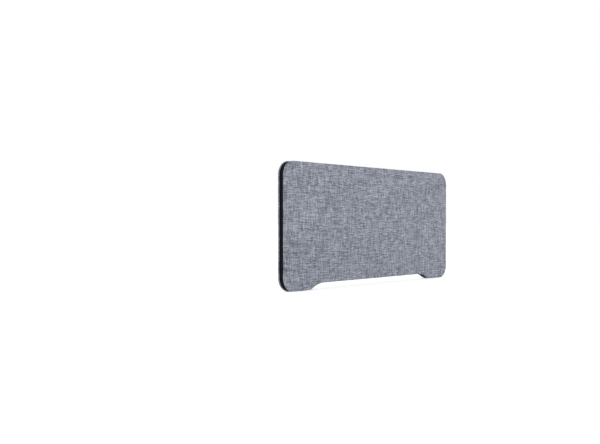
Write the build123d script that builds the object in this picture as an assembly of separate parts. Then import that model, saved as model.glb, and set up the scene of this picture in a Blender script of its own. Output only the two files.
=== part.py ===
from build123d import *
import os
from math import atan2, hypot, tan

# Desk privacy panel: an upright acoustic screen whose fabric covers zip off.
# A glued frame with sound-absorbing infill carries a soft pad on each face. A fabric cover
# goes over each pad, and a zip closes the two covers along the left end, the top and the
# right end. A webbing gusset closes them along the bottom. The bottom edge is raised between
# two feet, which leaves a gap for cables, and each foot holds two threaded inserts.
#
# Millimetres. +X runs along the panel, -Y is the front, +Z is up. The origin is on the
# surface that the feet stand on, under the middle of the panel.

# Overall size and outline
panel_width = 1400.0
panel_height = 590.0
corner_radius = 65.0
foot_length = 184.0  # from the panel's end to the ramp's lower corner
ramp_length = 66.0
foot_drop = 29.0  # height of the cable gap
foot_corner_radius = 78.0
middle_corner_radius = 143.0

# Layers, from the middle out
core_thickness = 25.0
pad_thickness = 8.0
fabric_thickness = 1.0
layer_gap = 0.1
edge_radius = 6.0  # of a cover, where its face turns over the edge
hem_width = 14.0  # of the cover, turned in between the pad and the frame

# Zip and gusset, which lie in the channel between the two covers' edges
band_recess = 4.0
tape_thickness = 0.8
chain_width = 6.0
chain_thickness = 2.4
zip_end_above_corner = 10.0
stop_length = 3.0
stop_extra = 0.2

# Slider and pull
slider_length = 14.0
slider_nose_width = 11.0
slider_tail_width = 9.0
plate_thickness = 0.9
chain_clearance = 0.3
flange_width = 0.9
tape_clearance = 0.3
slider_rest_gap = 0.3
divider_length = 4.5
divider_width = 3.0
bridge_width = 2.2
bridge_leg = 0.9
bridge_inside = 3.8
bridge_beam = 0.75
pull_thickness = 0.9
pull_width = 7.0
pull_length = 26.0
pull_window_width = 3.4
pull_window_length = 5.2
pull_clearance = 0.05

# Frame
rail_width = 34.0
block_past_corner = 45.0  # how far a corner block runs on past the rounded corner
foot_block_past_ramp = 60.0
upright_spacing = 460.0  # between the two inner uprights
zip_groove_width = 12.0
zip_groove_depth = 2.6
infill_gap = 0.5

# Dowels
dowel_diameter = 8.0
dowel_length = 36.0
dowel_spacing = 16.0
dowel_fit = 0.05
dowel_end_gap = 1.0

# Threaded inserts in the feet, and the eyelets below them
bolt_spacing = 64.0
insert_bore_radius = 2.5  # the minor radius of an M6 thread
insert_body_radius = 5.0
insert_body_length = 14.0
insert_flange_radius = 6.5
insert_flange_thickness = 1.0
insert_fit = 0.05
screw_relief_radius = 3.5
screw_relief_depth = 6.0
eyelet_hole_radius = 3.5
eyelet_barrel_radius = 4.0
eyelet_flange_radius = 5.5
eyelet_flange_thickness = 0.4

# Worked out from the values above
half_width = panel_width / 2
half_core = core_thickness / 2
half_thickness = half_core + pad_thickness + fabric_thickness
frame_inset = band_recess + tape_thickness
rail_middle_inset = frame_inset + rail_width / 2
infill_inset = frame_inset + rail_width + infill_gap
chain_middle_inset = band_recess + tape_thickness / 2
chain_outer_inset = chain_middle_inset - chain_thickness / 2
chain_inner_inset = chain_middle_inset + chain_thickness / 2
zip_end_height = corner_radius + zip_end_above_corner
chain_start_height = zip_end_height + stop_length
slider_nose_height = chain_start_height + slider_rest_gap
chain_end_height = slider_nose_height + divider_length + 2 * chain_clearance
ramp_angle = atan2(foot_drop, ramp_length)
foot_flat_end = foot_length - foot_corner_radius * tan(ramp_angle / 2)
bolt_centre = half_width - (corner_radius + foot_flat_end) / 2
corner_block_length = corner_radius + block_past_corner
foot_block_end = half_width - foot_length - ramp_length - foot_block_past_ramp
corner_block_end = half_width - corner_block_length
upright_x = upright_spacing / 2
reach = 2 * hypot(panel_width, panel_height)  # longer than anything that it cuts


def panel_outline():
    corners = [
        (-half_width, 0),
        (-half_width + foot_length, 0),
        (-half_width + foot_length + ramp_length, foot_drop),
        (half_width - foot_length - ramp_length, foot_drop),
        (half_width - foot_length, 0),
        (half_width, 0),
        (half_width, panel_height),
        (-half_width, panel_height),
    ]
    radii = [
        corner_radius,
        foot_corner_radius,
        middle_corner_radius,
        middle_corner_radius,
        foot_corner_radius,
        corner_radius,
        corner_radius,
        corner_radius,
    ]
    return make_face(FilletPolyline(*corners, radius=radii, close=True))


outline = panel_outline()


def inset(distance):
    """The panel's outline, moved in by a distance."""
    return offset(outline, amount=-distance)


def slab(face, y_low, y_high):
    """A face drawn in X and Z, made solid between two values of Y."""
    return Pos(0, y_high, 0) * extrude(Plane.XZ * face, amount=y_high - y_low)


def block(x_range, y_range, z_range):
    lows = (x_range[0], y_range[0], z_range[0])
    sizes = [high - low for low, high in (x_range, y_range, z_range)]
    return Pos(*lows) * Box(*sizes, align=(Align.MIN, Align.MIN, Align.MIN))


def band(outer_inset, inner_inset, y_low, y_high):
    """A closed strip that follows the panel's edge."""
    return slab(inset(outer_inset) - inset(inner_inset), y_low, y_high)


def above(height):
    return block((-reach, reach), (-reach, reach), (height, reach))


def below(height):
    return block((-reach, reach), (-reach, reach), (-reach, height))


def right_of(x):
    return block((x, reach), (-reach, reach), (-reach, reach))


def round_front(solid, y_front, radius):
    """Rounds the edge all round a slab's front face."""
    front_edges = solid.edges().filter_by_position(Axis.Y, y_front, y_front)
    return fillet(front_edges, radius)


def front_cover():
    """A fabric skin over the pad, with a hem turned in behind the pad's edge."""
    y_face = -half_thickness
    y_inside = y_face + fabric_thickness
    y_hem = -half_core - fabric_thickness
    skin = round_front(slab(outline, y_face, -half_core), y_face, edge_radius)
    hollow = round_front(
        slab(inset(fabric_thickness), y_inside, y_hem), y_inside, edge_radius - fabric_thickness
    )
    opening = slab(inset(hem_width), y_hem, -half_core)
    return skin - hollow - opening


def front_pad():
    """The soft pad, stepped round its edge where the cover's hem lies behind it."""
    skin_gap = fabric_thickness + layer_gap
    y_face = -half_thickness + skin_gap
    y_step = -half_core - skin_gap
    face = round_front(slab(inset(skin_gap), y_face, y_step), y_face, edge_radius - skin_gap)
    middle = slab(inset(hem_width + layer_gap), y_step, -half_core)
    return face + middle


def zip_tape_front():
    tape = band(band_recess, frame_inset, -half_core, -chain_width / 2)
    return tape & above(zip_end_height)


def bottom_gusset():
    """Webbing between the covers, from one end of the zip round the bottom to the other."""
    gusset = band(band_recess, frame_inset, -half_core, half_core) & below(zip_end_height)
    holes = [bolt_cylinder(x, eyelet_barrel_radius, 0, foot_drop) for x in bolt_places()]
    return gusset - holes


def zip_chain_front():
    """One half of the closed teeth, from the start stop round to the slider at rest."""
    chain = band(chain_outer_inset, chain_inner_inset, -chain_width / 2, 0)
    chain = chain & above(chain_start_height)
    return chain - (right_of(0) & below(chain_end_height))


def zip_stop(side, y_low, y_high):
    """A stop on the zip's tape, at the panel's left end (-1) or right end (1)."""
    x_ends = (
        side * (half_width - chain_outer_inset + stop_extra),
        side * (half_width - chain_inner_inset - stop_extra),
    )
    return block(
        (min(x_ends), max(x_ends)), (y_low, y_high), (zip_end_height, chain_start_height)
    )


def zip_end_stops():
    """One stop on each tape, close enough together to catch the slider's divider."""
    catch = divider_width / 2 - chain_clearance
    front = zip_stop(1, -chain_width / 2, -catch)
    return [front, mirror(front, about=Plane.XZ)]


# The slider and its pull are drawn on the right end of the panel, where the zip closes.
cavity_outer_x = half_width - chain_outer_inset + chain_clearance
cavity_inner_x = half_width - chain_inner_inset - chain_clearance
top_plate_x = cavity_outer_x + plate_thickness
bottom_plate_x = cavity_inner_x - plate_thickness
tape_slot_outer_x = half_width - band_recess + tape_clearance
tape_slot_inner_x = half_width - frame_inset - tape_clearance
bridge_middle_height = slider_nose_height + slider_length / 2
pull_axis_x = top_plate_x + pull_clearance + pull_thickness / 2
bridge_beam_x = pull_axis_x + pull_thickness / 2 + pull_clearance


def slider_plate(x_low, x_high):
    """One plate of the slider, wide at its nose and narrow at its tail."""
    half_nose = slider_nose_width / 2
    half_tail = slider_tail_width / 2
    nose = slider_nose_height
    tail = nose + slider_length
    shoulder = nose + divider_length
    corners = [
        (-half_nose, nose),
        (half_nose, nose),
        (half_nose, shoulder),
        (half_tail, tail),
        (-half_tail, tail),
        (-half_nose, shoulder),
    ]
    face = make_face(FilletPolyline(*corners, radius=1.5, close=True))
    return Pos(x_low, 0, 0) * extrude(Plane.YZ * face, amount=x_high - x_low)


def slider_flange(x_low, x_high):
    """The two side walls that guide the closed chain through the slider's tail."""
    y_inside = chain_width / 2 + chain_clearance
    z_range = (slider_nose_height + divider_length + 1.5, slider_nose_height + slider_length)
    wall = block((x_low, x_high), (y_inside, y_inside + flange_width), z_range)
    return wall + mirror(wall, about=Plane.XZ)


def slider_divider():
    """The wedge at the nose, which joins the plates and parts the two rows of teeth."""
    nose = slider_nose_height + chain_clearance
    wedge = make_face(
        Polyline(
            (-divider_width / 2, nose),
            (divider_width / 2, nose),
            (0.4, nose + divider_length),
            (-0.4, nose + divider_length),
            close=True,
        )
    )
    cavity = cavity_outer_x - cavity_inner_x
    return Pos(cavity_inner_x, 0, 0) * extrude(Plane.YZ * wedge, amount=cavity)


def slider_bridge():
    """The arch on the top plate that holds the pull's crossbar."""
    half_span = bridge_inside / 2 + bridge_leg
    y_range = (-bridge_width / 2, bridge_width / 2)
    z_range = (bridge_middle_height - half_span, bridge_middle_height + half_span)
    arch = block((top_plate_x, bridge_beam_x + bridge_beam), y_range, z_range)
    outer_edges = arch.edges().filter_by(Axis.Y).group_by(Axis.X)[-1]
    arch = fillet(outer_edges, bridge_beam - pull_clearance)
    eye_z = (bridge_middle_height - bridge_inside / 2, bridge_middle_height + bridge_inside / 2)
    return arch - block((top_plate_x, bridge_beam_x), y_range, eye_z)


def zip_slider():
    body = slider_plate(cavity_outer_x, top_plate_x) + slider_plate(bottom_plate_x, cavity_inner_x)
    body += slider_flange(tape_slot_outer_x, cavity_outer_x)
    body += slider_flange(cavity_inner_x, tape_slot_inner_x)
    return body + slider_divider() + slider_bridge()


def slider_pull():
    """The pull hangs from its crossbar, which turns under the slider's bridge."""
    half_thick = pull_thickness / 2
    top = bridge_middle_height
    tab_face = RectangleRounded(pull_width, pull_length, pull_width * 0.3)
    tab = Plane.YZ * Pos(0, top - pull_length / 2) * tab_face
    tab = Pos(pull_axis_x - half_thick, 0, 0) * extrude(tab, amount=pull_thickness)
    tab = tab & below(top)
    window_z = (top - half_thick - pull_window_length, reach)
    window_y = (-pull_window_width / 2, pull_window_width / 2)
    tab -= block((-reach, reach), window_y, window_z)
    bar = Cylinder(half_thick, pull_width, rotation=(90, 0, 0))
    grip_hole = Cylinder(pull_width * 0.22, reach, rotation=(0, 90, 0))
    grip_hole = Pos(0, 0, top - pull_length + pull_width * 0.55) * grip_hole
    return tab + Pos(pull_axis_x, 0, top) * bar - grip_hole


def bolt_places():
    """X of each threaded insert."""
    centres = (-bolt_centre, bolt_centre)
    return [x + side * bolt_spacing / 2 for x in centres for side in (-1, 1)]


def bolt_cylinder(x, radius, z_low, z_high):
    up = (Align.CENTER, Align.CENTER, Align.MIN)
    return Pos(x, 0, z_low) * Cylinder(radius, z_high - z_low, align=up)


eyelet_top = frame_inset + eyelet_flange_thickness
insert_flange_top = eyelet_top + insert_flange_thickness
insert_top = insert_flange_top + insert_body_length


def eyelet(x):
    barrel = bolt_cylinder(x, eyelet_barrel_radius, band_recess, frame_inset)
    outside = bolt_cylinder(
        x, eyelet_flange_radius, band_recess - eyelet_flange_thickness, band_recess
    )
    inside = bolt_cylinder(x, eyelet_flange_radius, frame_inset, eyelet_top)
    hole = bolt_cylinder(x, eyelet_hole_radius, 0, reach)
    return outside + barrel + inside - hole


def threaded_insert(x):
    flange = bolt_cylinder(x, insert_flange_radius, eyelet_top, insert_flange_top)
    body = bolt_cylinder(x, insert_body_radius, insert_flange_top, insert_top)
    return flange + body - bolt_cylinder(x, insert_bore_radius, 0, reach)


def insert_pocket(x):
    """The hole in a foot block: for the flanges, the insert's body, and the screw's end."""
    mouth = bolt_cylinder(x, insert_flange_radius + insert_fit, 0, insert_flange_top)
    hole = bolt_cylinder(x, insert_body_radius + insert_fit, 0, insert_top)
    return mouth + hole + bolt_cylinder(x, screw_relief_radius, 0, insert_top + screw_relief_depth)


def zip_groove():
    """The channel in the frame's edge that the chain and the slider's inner plate run in."""
    half_groove = zip_groove_width / 2
    depth_inset = frame_inset + zip_groove_depth
    return band(frame_inset, depth_inset, -half_groove, half_groove) & above(zip_end_height)


def dowel_joints():
    """Each glued joint as its place in X and Z, and the direction that its dowels run in."""
    rail_x = half_width - rail_middle_inset
    top_z = panel_height - rail_middle_inset
    bottom_z = foot_drop + rail_middle_inset
    joints = []
    for side in (-1, 1):
        joints += [
            (side * corner_block_end, top_z, Axis.X),
            (side * rail_x, panel_height - corner_block_length, Axis.Z),
            (side * rail_x, corner_block_length, Axis.Z),
            (side * foot_block_end, bottom_z, Axis.X),
            (side * upright_x, top_z - rail_width / 2, Axis.Z),
            (side * upright_x, bottom_z + rail_width / 2, Axis.Z),
        ]
    return joints


def dowel_set(radius, length):
    """Two round rods across every joint of the frame."""
    rods = []
    for x, z, axis in dowel_joints():
        along_x = axis == Axis.X
        rod = Cylinder(radius, length, rotation=(0, 90, 0) if along_x else (0, 0, 0))
        for shift in (-dowel_spacing / 2, dowel_spacing / 2):
            rods.append((Pos(x, 0, z + shift) if along_x else Pos(x + shift, 0, z)) * rod)
    return rods


def frame_members():
    """The ring of rails and blocks, cut at the glued joints, and the two inner uprights."""
    inner_inset = frame_inset + rail_width
    ring = band(frame_inset, inner_inset, -half_core, half_core) - zip_groove()
    every_y = (-half_core, half_core)
    foot_x = (-half_width, -foot_block_end)
    corner_x = (-half_width, -corner_block_end)
    corner_low = panel_height - corner_block_length
    left = {
        "foot_block": block(foot_x, every_y, (0, corner_block_length)),
        "stile": block(corner_x, every_y, (corner_block_length, corner_low)),
        "corner_block": block(corner_x, every_y, (corner_low, panel_height)),
    }
    members = {}
    for name, region in left.items():
        members["left_" + name] = ring & region
        members["right_" + name] = ring & mirror(region, about=Plane.YZ)
    members["top_rail"] = ring & block(
        (-corner_block_end, corner_block_end), every_y, (corner_low, panel_height)
    )
    members["bottom_rail"] = ring & block(
        (-foot_block_end, foot_block_end), every_y, (0, corner_block_length)
    )
    upright = block(
        (-rail_width / 2, rail_width / 2),
        every_y,
        (foot_drop + inner_inset, panel_height - inner_inset),
    )
    members["left_upright"] = Pos(-upright_x, 0, 0) * upright
    members["right_upright"] = Pos(upright_x, 0, 0) * upright

    drilled = dowel_set(dowel_diameter / 2 + dowel_fit, dowel_length + 2 * dowel_end_gap)
    drilled += [insert_pocket(x) for x in bolt_places()]
    return {name: member - drilled for name, member in members.items()}


def infill_panels():
    """Sound-absorbing board in the three bays between the uprights."""
    bay_edge = upright_x + rail_width / 2 + infill_gap
    middle_edge = upright_x - rail_width / 2 - infill_gap
    board = slab(inset(infill_inset), -half_core, half_core)
    every = (-reach, reach)
    return {
        "left_infill": board & block((-reach, -bay_edge), every, every),
        "middle_infill": board & block((-middle_edge, middle_edge), every, every),
        "right_infill": board & block((bay_edge, reach), every, every),
    }


def all_nodes():
    cover = front_cover()
    pad = front_pad()
    tape = zip_tape_front()
    chain = zip_chain_front()
    nodes = {
        "front_cover": cover,
        "back_cover": mirror(cover, about=Plane.XZ),
        "front_pad": pad,
        "back_pad": mirror(pad, about=Plane.XZ),
        "zip_tape_front": tape,
        "zip_tape_back": mirror(tape, about=Plane.XZ),
        "zip_chain_front": chain,
        "zip_chain_back": mirror(chain, about=Plane.XZ),
        "zip_start_stop": zip_stop(-1, -chain_width / 2, chain_width / 2),
        "zip_end_stops": zip_end_stops(),
        "zip_slider": zip_slider(),
        "slider_pull": slider_pull(),
        "bottom_gusset": bottom_gusset(),
        "gusset_eyelets": [eyelet(x) for x in bolt_places()],
        "threaded_inserts": [threaded_insert(x) for x in bolt_places()],
        "frame_dowels": dowel_set(dowel_diameter / 2, dowel_length),
    }
    nodes.update(frame_members())
    nodes.update(infill_panels())
    return nodes


os.makedirs("parts", exist_ok=True)
for node_name, shape in all_nodes().items():
    solids = shape if isinstance(shape, list) else [shape]
    whole = Compound(children=[solid for piece in solids for solid in piece.solids()])
    export_step(whole, f"parts/{node_name}.step")
print("pull axis x, z:", pull_axis_x, bridge_middle_height)
print("bolt centre x, insert mouth z:", bolt_centre, eyelet_top)
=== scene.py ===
import math

import bmesh
import bpy
from mathutils import Matrix, Vector, noise


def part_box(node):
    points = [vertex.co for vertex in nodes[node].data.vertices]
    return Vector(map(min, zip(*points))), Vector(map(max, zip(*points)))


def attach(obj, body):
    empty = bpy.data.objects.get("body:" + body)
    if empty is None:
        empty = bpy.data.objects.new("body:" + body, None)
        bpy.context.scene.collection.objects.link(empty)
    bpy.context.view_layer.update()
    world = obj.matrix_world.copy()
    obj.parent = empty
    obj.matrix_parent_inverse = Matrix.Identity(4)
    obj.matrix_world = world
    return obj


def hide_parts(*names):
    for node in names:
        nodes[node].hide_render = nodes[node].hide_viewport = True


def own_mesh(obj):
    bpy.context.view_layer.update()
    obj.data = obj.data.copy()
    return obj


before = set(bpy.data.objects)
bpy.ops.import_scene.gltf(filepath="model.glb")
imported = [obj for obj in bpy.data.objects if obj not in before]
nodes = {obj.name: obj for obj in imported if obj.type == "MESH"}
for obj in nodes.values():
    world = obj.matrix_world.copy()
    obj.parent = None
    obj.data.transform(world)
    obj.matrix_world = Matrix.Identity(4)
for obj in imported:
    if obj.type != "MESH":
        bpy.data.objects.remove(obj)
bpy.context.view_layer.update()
scene = bpy.context.scene
mm = 0.001
samePlace = 0.01 * mm  # points that are nearer than this count as one
print("frame loaded:", len(nodes), "nodes")

# what the camera, the light and the floor are like
camera = {
    "place": (-3.4405, -2.4443, 0.3139),
    "heading": math.radians(-49.59),  # from looking along +Y, level with the panel's middle
    "lens": 49.44,
    "clipEnd": 200.0,
}
light = {
    "sky": (1.0, 1.0, 1.0),
    "skyStrength": 1.0,
    "lamps": [  # place, aimed at, width, power
        ((0.6, -3.6, 1.2), (0.0, 0.0, 0.3), 2.4, 16.0),
        ((-2.2, -3.2, 2.2), (0.0, 0.0, 0.3), 2.0, 4.0),
        ((-0.4, 3.4, 1.6), (0.0, 0.0, 0.3), 2.4, 14.0),
    ],
}
floor = {
    "size": 90.0, "segments": 8, "colour": (0.985, 0.985, 0.985, 1.0), "roughness": 1.0,
    "glow": 0.3,  # lifts the shadow, as a lit table does
}


def setCamera():
    data = bpy.data.cameras.new("camera")
    data.lens = camera["lens"]
    data.clip_end = camera["clipEnd"]
    made = bpy.data.objects.new("camera", data)
    made.location = camera["place"]
    made.rotation_euler = (math.radians(90), 0, camera["heading"])
    scene.collection.objects.link(made)
    scene.camera = made


def setLight():
    world = bpy.data.worlds.new("studio")
    world.use_nodes = True
    sky = world.node_tree.nodes["Background"]
    sky.inputs["Color"].default_value = (*light["sky"], 1.0)
    sky.inputs["Strength"].default_value = light["skyStrength"]
    scene.world = world
    for index, (place, aim, width, power) in enumerate(light["lamps"]):
        data = bpy.data.lights.new(f"softbox{index}", "AREA")
        data.size = width
        data.energy = power
        lamp = bpy.data.objects.new(data.name, data)
        lamp.location = place
        toAim = Vector(aim) - Vector(place)
        lamp.rotation_euler = toAim.to_track_quat("-Z", "Y").to_euler()
        lamp.visible_camera = False
        scene.collection.objects.link(lamp)
    scene.view_settings.view_transform = "Standard"


setCamera()
setLight()


def addNode(tree, kind, values=None, **settings):
    node = tree.nodes.new("ShaderNode" + kind)
    for key, value in settings.items():
        setattr(node, key, value)
    for socket, value in (values or {}).items():
        if isinstance(value, bpy.types.NodeSocket):
            tree.links.new(value, node.inputs[socket])
        else:
            node.inputs[socket].default_value = value
    return node


def compute(tree, operation, *values):
    return addNode(tree, "Math", dict(enumerate(values)), operation=operation).outputs[0]


def plus(tree, first, second):
    return compute(tree, "ADD", first, second)


def times(tree, first, second):
    return compute(tree, "MULTIPLY", first, second)


def mixColour(tree, factor, first, second):
    values = {"Factor": factor, 6: first, 7: second}
    return addNode(tree, "Mix", values, data_type="RGBA").outputs[2]


def mixValue(tree, factor, first, second):
    values = {0: factor, 2: first, 3: second}
    return addNode(tree, "Mix", values, data_type="FLOAT").outputs[0]


def speckle(tree, vector, scale, detail=2.0, rough=0.5):
    values = {"Vector": vector, "Scale": scale, "Detail": detail, "Roughness": rough}
    return addNode(tree, "TexNoise", values).outputs["Fac"]


def spread(tree, value, low, high, newLow=0.0, newHigh=1.0):
    values = {0: value, 1: low, 2: high, 3: newLow, 4: newHigh}
    return addNode(tree, "MapRange", values).outputs[0]


def centred(tree, value, gain):
    # from a noise round 0.5 to one round 0
    return times(tree, compute(tree, "SUBTRACT", value, 0.5), gain)


def toned(group, tone, given):
    # the base colour, towards the light one above 0 and towards the dark one below
    lighter = compute(group, "MAXIMUM", tone, 0.0)
    darker = compute(group, "MAXIMUM", times(group, tone, -1.0), 0.0)
    colour = mixColour(group, lighter, given["Base"], given["Light"])
    return mixColour(group, darker, colour, given["Dark"])


def newGroup(name, inputs, outputs):
    group = bpy.data.node_groups.new(name, "ShaderNodeTree")
    for label, kind, value in inputs:
        socket = group.interface.new_socket(
            label, in_out="INPUT", socket_type="NodeSocket" + kind
        )
        if value is not None:
            socket.default_value = value
    for label, kind in outputs:
        group.interface.new_socket(label, in_out="OUTPUT", socket_type="NodeSocket" + kind)
    given = group.nodes.new("NodeGroupInput").outputs
    return group, given, group.nodes.new("NodeGroupOutput").inputs


def output(group, ends, **sockets):
    for label, socket in sockets.items():
        group.links.new(socket, ends[label])


grey = (0.5, 0.5, 0.5, 1.0)

yarn = {
    "crossing": 0.5,  # how far a yarn goes up and down, its own roundness being 1
    "weftStep": 3.7, "warpStep": 4.3,  # from yarn to yarn in the noise, so neighbours differ
    "weftSeed": 3.3, "warpSeed": 11.6,
    "tone": 5.0,
    "driftScale": 5.0, "drift": 0.5,
    "fibreScale": 3500.0, "fibreHeight": 0.3, "fibreTone": 0.8,
    # the heights between which the painted shade between the yarns fades in
    "gapShadeLow": 0.15, "gapShadeHigh": 0.75,
    "roughness": (0.95, 0.8),
}


def makeWeave():
    # plain weave of uneven yarns, with painted shade between them: the place is in metres along the
    # cloth
    group, given, ends = newGroup(
        "plainWeave",
        [("Place", "Vector", None), ("Pitch", "Float", 0.0012), ("Base", "Color", grey),
         ("Dark", "Color", grey), ("Light", "Color", grey), ("Contrast", "Float", 1.0),
         ("Drift", "Float", 1.0), ("SlubLength", "Float", 0.02), ("Gap", "Float", 0.4)],
        [("Color", "Color"), ("Height", "Float"), ("Roughness", "Float")],
    )
    split = addNode(group, "SeparateXYZ", {0: given["Place"]}).outputs
    u, v = split[0], split[1]
    warp = compute(group, "DIVIDE", u, given["Pitch"])
    weft = compute(group, "DIVIDE", v, given["Pitch"])
    warpCount = compute(group, "FLOOR", warp)
    weftCount = compute(group, "FLOOR", weft)
    warpWave = compute(group, "SINE", times(group, warp, math.pi))
    weftWave = compute(group, "SINE", times(group, weft, math.pi))

    # each yarn is round, and goes up and down over the yarns that cross it
    rises = []
    for wave, other, count, way in (
        (warpWave, weftWave, warpCount, yarn["crossing"]),
        (weftWave, warpWave, weftCount, -yarn["crossing"]),
    ):
        odd = compute(group, "FLOORED_MODULO", count, 2.0)
        turn = spread(group, odd, 0.0, 1.0, way, -way)
        rise = times(group, other, turn)
        rises.append(plus(group, compute(group, "ABSOLUTE", wave), rise))
    weftOver = compute(group, "GREATER_THAN", rises[1], rises[0])
    height = compute(group, "DIVIDE", compute(group, "MAXIMUM", *rises), 1 + yarn["crossing"])

    # each yarn changes tone along its own length
    lengthwise = compute(group, "DIVIDE", 1.0, given["SlubLength"])
    weftPlace = addNode(group, "CombineXYZ", {
        0: times(group, u, lengthwise),
        1: times(group, weftCount, yarn["weftStep"]),
        2: yarn["weftSeed"],
    }).outputs[0]
    warpPlace = addNode(group, "CombineXYZ", {
        0: times(group, warpCount, yarn["warpStep"]),
        1: times(group, v, lengthwise),
        2: yarn["warpSeed"],
    }).outputs[0]
    own = mixValue(
        group, weftOver, speckle(group, warpPlace, 1.0, 3.0), speckle(group, weftPlace, 1.0, 3.0)
    )
    own = centred(group, own, yarn["tone"])
    drift = speckle(group, given["Place"], yarn["driftScale"])
    drift = centred(group, drift, yarn["drift"])
    fibres = speckle(group, given["Place"], yarn["fibreScale"])
    fibreHeight = times(group, fibres, yarn["fibreHeight"])
    height = plus(group, height, fibreHeight)
    tone = plus(group, times(group, own, given["Contrast"]), times(group, drift, given["Drift"]))
    tone = plus(group, tone, centred(group, fibres, yarn["fibreTone"]))
    colour = toned(group, tone, given)
    # painted shade: the colour goes towards the dark one where the yarns dip between each other
    gapShadeMask = spread(group, height, yarn["gapShadeLow"], yarn["gapShadeHigh"], 1.0, 0.0)
    gap = times(group, gapShadeMask, given["Gap"])
    colour = mixColour(group, gap, colour, given["Dark"])
    rough = spread(group, tone, -1.0, 1.0, *yarn["roughness"])
    output(group, ends, Color=colour, Height=height, Roughness=rough)
    return group


wood = {
    "wanderScale": (2.2, 30.0, 30.0),  # long along the grain
    "wander": 0.018,
    "slant": 0.6,
    "rings": 260.0, "ringStart": -0.4, "ringPower": 2.0, "ringTone": 0.7,
    "poreScale": (60.0, 1800.0, 1800.0),
    "poreLow": 0.5, "poreHigh": 0.8, "poreTone": 0.5, "poreDepth": 1.2,
    "roughness": (0.55, 0.75),
}


def makeGrain():
    # the grain runs along the place's X
    group, given, ends = newGroup(
        "woodGrain",
        [("Place", "Vector", None), ("Early", "Color", grey), ("Late", "Color", grey),
         ("Rings", "Float", wood["rings"])],
        [("Color", "Color"), ("Height", "Float"), ("Roughness", "Float")],
    )
    place = given["Place"]
    drawn = addNode(group, "Mapping", {0: place, 3: wood["wanderScale"]}).outputs[0]
    wander = speckle(group, drawn, 1.0, 3.0)
    split = addNode(group, "SeparateXYZ", {0: place}).outputs
    bent = plus(group, split[2], times(group, wander, wood["wander"]))
    bent = plus(group, bent, times(group, split[1], wood["slant"]))
    ring = compute(group, "SINE", times(group, bent, given["Rings"]))
    ring = compute(group, "POWER", spread(group, ring, wood["ringStart"], 1.0), wood["ringPower"])
    pores = addNode(group, "Mapping", {0: place, 3: wood["poreScale"]}).outputs[0]
    streak = speckle(group, pores, 1.0)
    poreTone = spread(group, streak, wood["poreLow"], wood["poreHigh"], 0.0, wood["poreTone"])
    factor = plus(group, times(group, ring, wood["ringTone"]), poreTone)
    colour = mixColour(group, factor, given["Early"], given["Late"])
    height = compute(group, "SUBTRACT", ring, times(group, streak, wood["poreDepth"]))
    rough = spread(group, streak, 0.2, 0.8, *wood["roughness"])
    output(group, ends, Color=colour, Height=height, Roughness=rough)
    return group


pressed = {
    "angles": (0.0, 1.05, 2.1),
    "lean": 0.3,
    "thinness": 9.0,
    "tone": 2.4,
    "roughness": (0.97, 0.86),
}


def makeFibre():
    # short fibres pressed in every direction
    group, given, ends = newGroup(
        "pressedFibre",
        [("Place", "Vector", None), ("Base", "Color", grey), ("Dark", "Color", grey),
         ("Light", "Color", grey), ("Length", "Float", 0.006)],
        [("Color", "Color"), ("Height", "Float"), ("Roughness", "Float")],
    )
    place = given["Place"]
    lengthwise = compute(group, "DIVIDE", 1.0, given["Length"])
    tone = 0.0
    height = 0.0
    for angle in pressed["angles"]:
        turned = addNode(group, "Mapping", {
            0: place,
            2: (pressed["lean"] * angle, angle, 0.0),
            3: (1.0, pressed["thinness"], pressed["thinness"]),
        }).outputs[0]
        layer = speckle(group, turned, lengthwise, 2.0, 0.6)
        tone = plus(group, tone, compute(group, "SUBTRACT", layer, 0.5))
        height = compute(group, "MAXIMUM", height, layer)
    tone = times(group, tone, pressed["tone"])
    colour = toned(group, tone, given)
    rough = spread(group, tone, -1.0, 1.0, *pressed["roughness"])
    output(group, ends, Color=colour, Height=height, Roughness=rough)
    return group


wear = {
    "patchLow": 0.46, "patchHigh": 0.62, "patchDetail": 4.0, "patchRoughness": 0.65,
    "mottleScale": 160.0,
    "roughness": (0.2, 0.3),
}


def makeWear():
    # a finish that is rubbed through in patches
    group, given, ends = newGroup(
        "rubbedFinish",
        [("Place", "Vector", None), ("Finish", "Color", grey), ("Under", "Color", grey),
         ("Amount", "Float", 0.5), ("Mottle", "Float", 0.02), ("Grain", "Float", 900.0)],
        [("Color", "Color"), ("Bare", "Float"), ("Roughness", "Float"), ("Height", "Float")],
    )
    place = given["Place"]
    patch = speckle(
        group, place, given["Grain"], wear["patchDetail"], wear["patchRoughness"]
    )
    through = spread(group, patch, wear["patchLow"], wear["patchHigh"])
    bare = times(group, through, given["Amount"])
    mottle = speckle(group, place, wear["mottleScale"], 3.0)
    shade = times(group, spread(group, mottle, 0.3, 0.7), given["Mottle"])
    colour = mixColour(group, shade, given["Finish"], given["Under"])
    colour = mixColour(group, bare, colour, given["Under"])
    rough = spread(group, patch, 0.2, 0.8, *wear["roughness"])
    output(group, ends, Color=colour, Bare=bare, Roughness=rough, Height=patch)
    return group


weaveGroup = makeWeave()
grainGroup = makeGrain()
fibreGroup = makeFibre()
wearGroup = makeWear()


def startMaterial(name, **fixed):
    material = bpy.data.materials.new(name)
    material.use_nodes = True
    tree = material.node_tree
    shader = tree.nodes["Principled BSDF"]
    for label, value in fixed.items():
        shader.inputs[label].default_value = value
    return material, tree, shader


def useGroup(tree, shader, group, place, bump, **values):
    made = addNode(tree, "Group", node_tree=group)
    tree.links.new(place, made.inputs["Place"])
    for label, value in values.items():
        made.inputs[label].default_value = value
    tree.links.new(made.outputs["Color"], shader.inputs["Base Color"])
    tree.links.new(made.outputs["Roughness"], shader.inputs["Roughness"])
    raised = addNode(tree, "Bump", {"Height": made.outputs["Height"], "Distance": bump})
    tree.links.new(raised.outputs[0], shader.inputs["Normal"])
    return made


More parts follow.
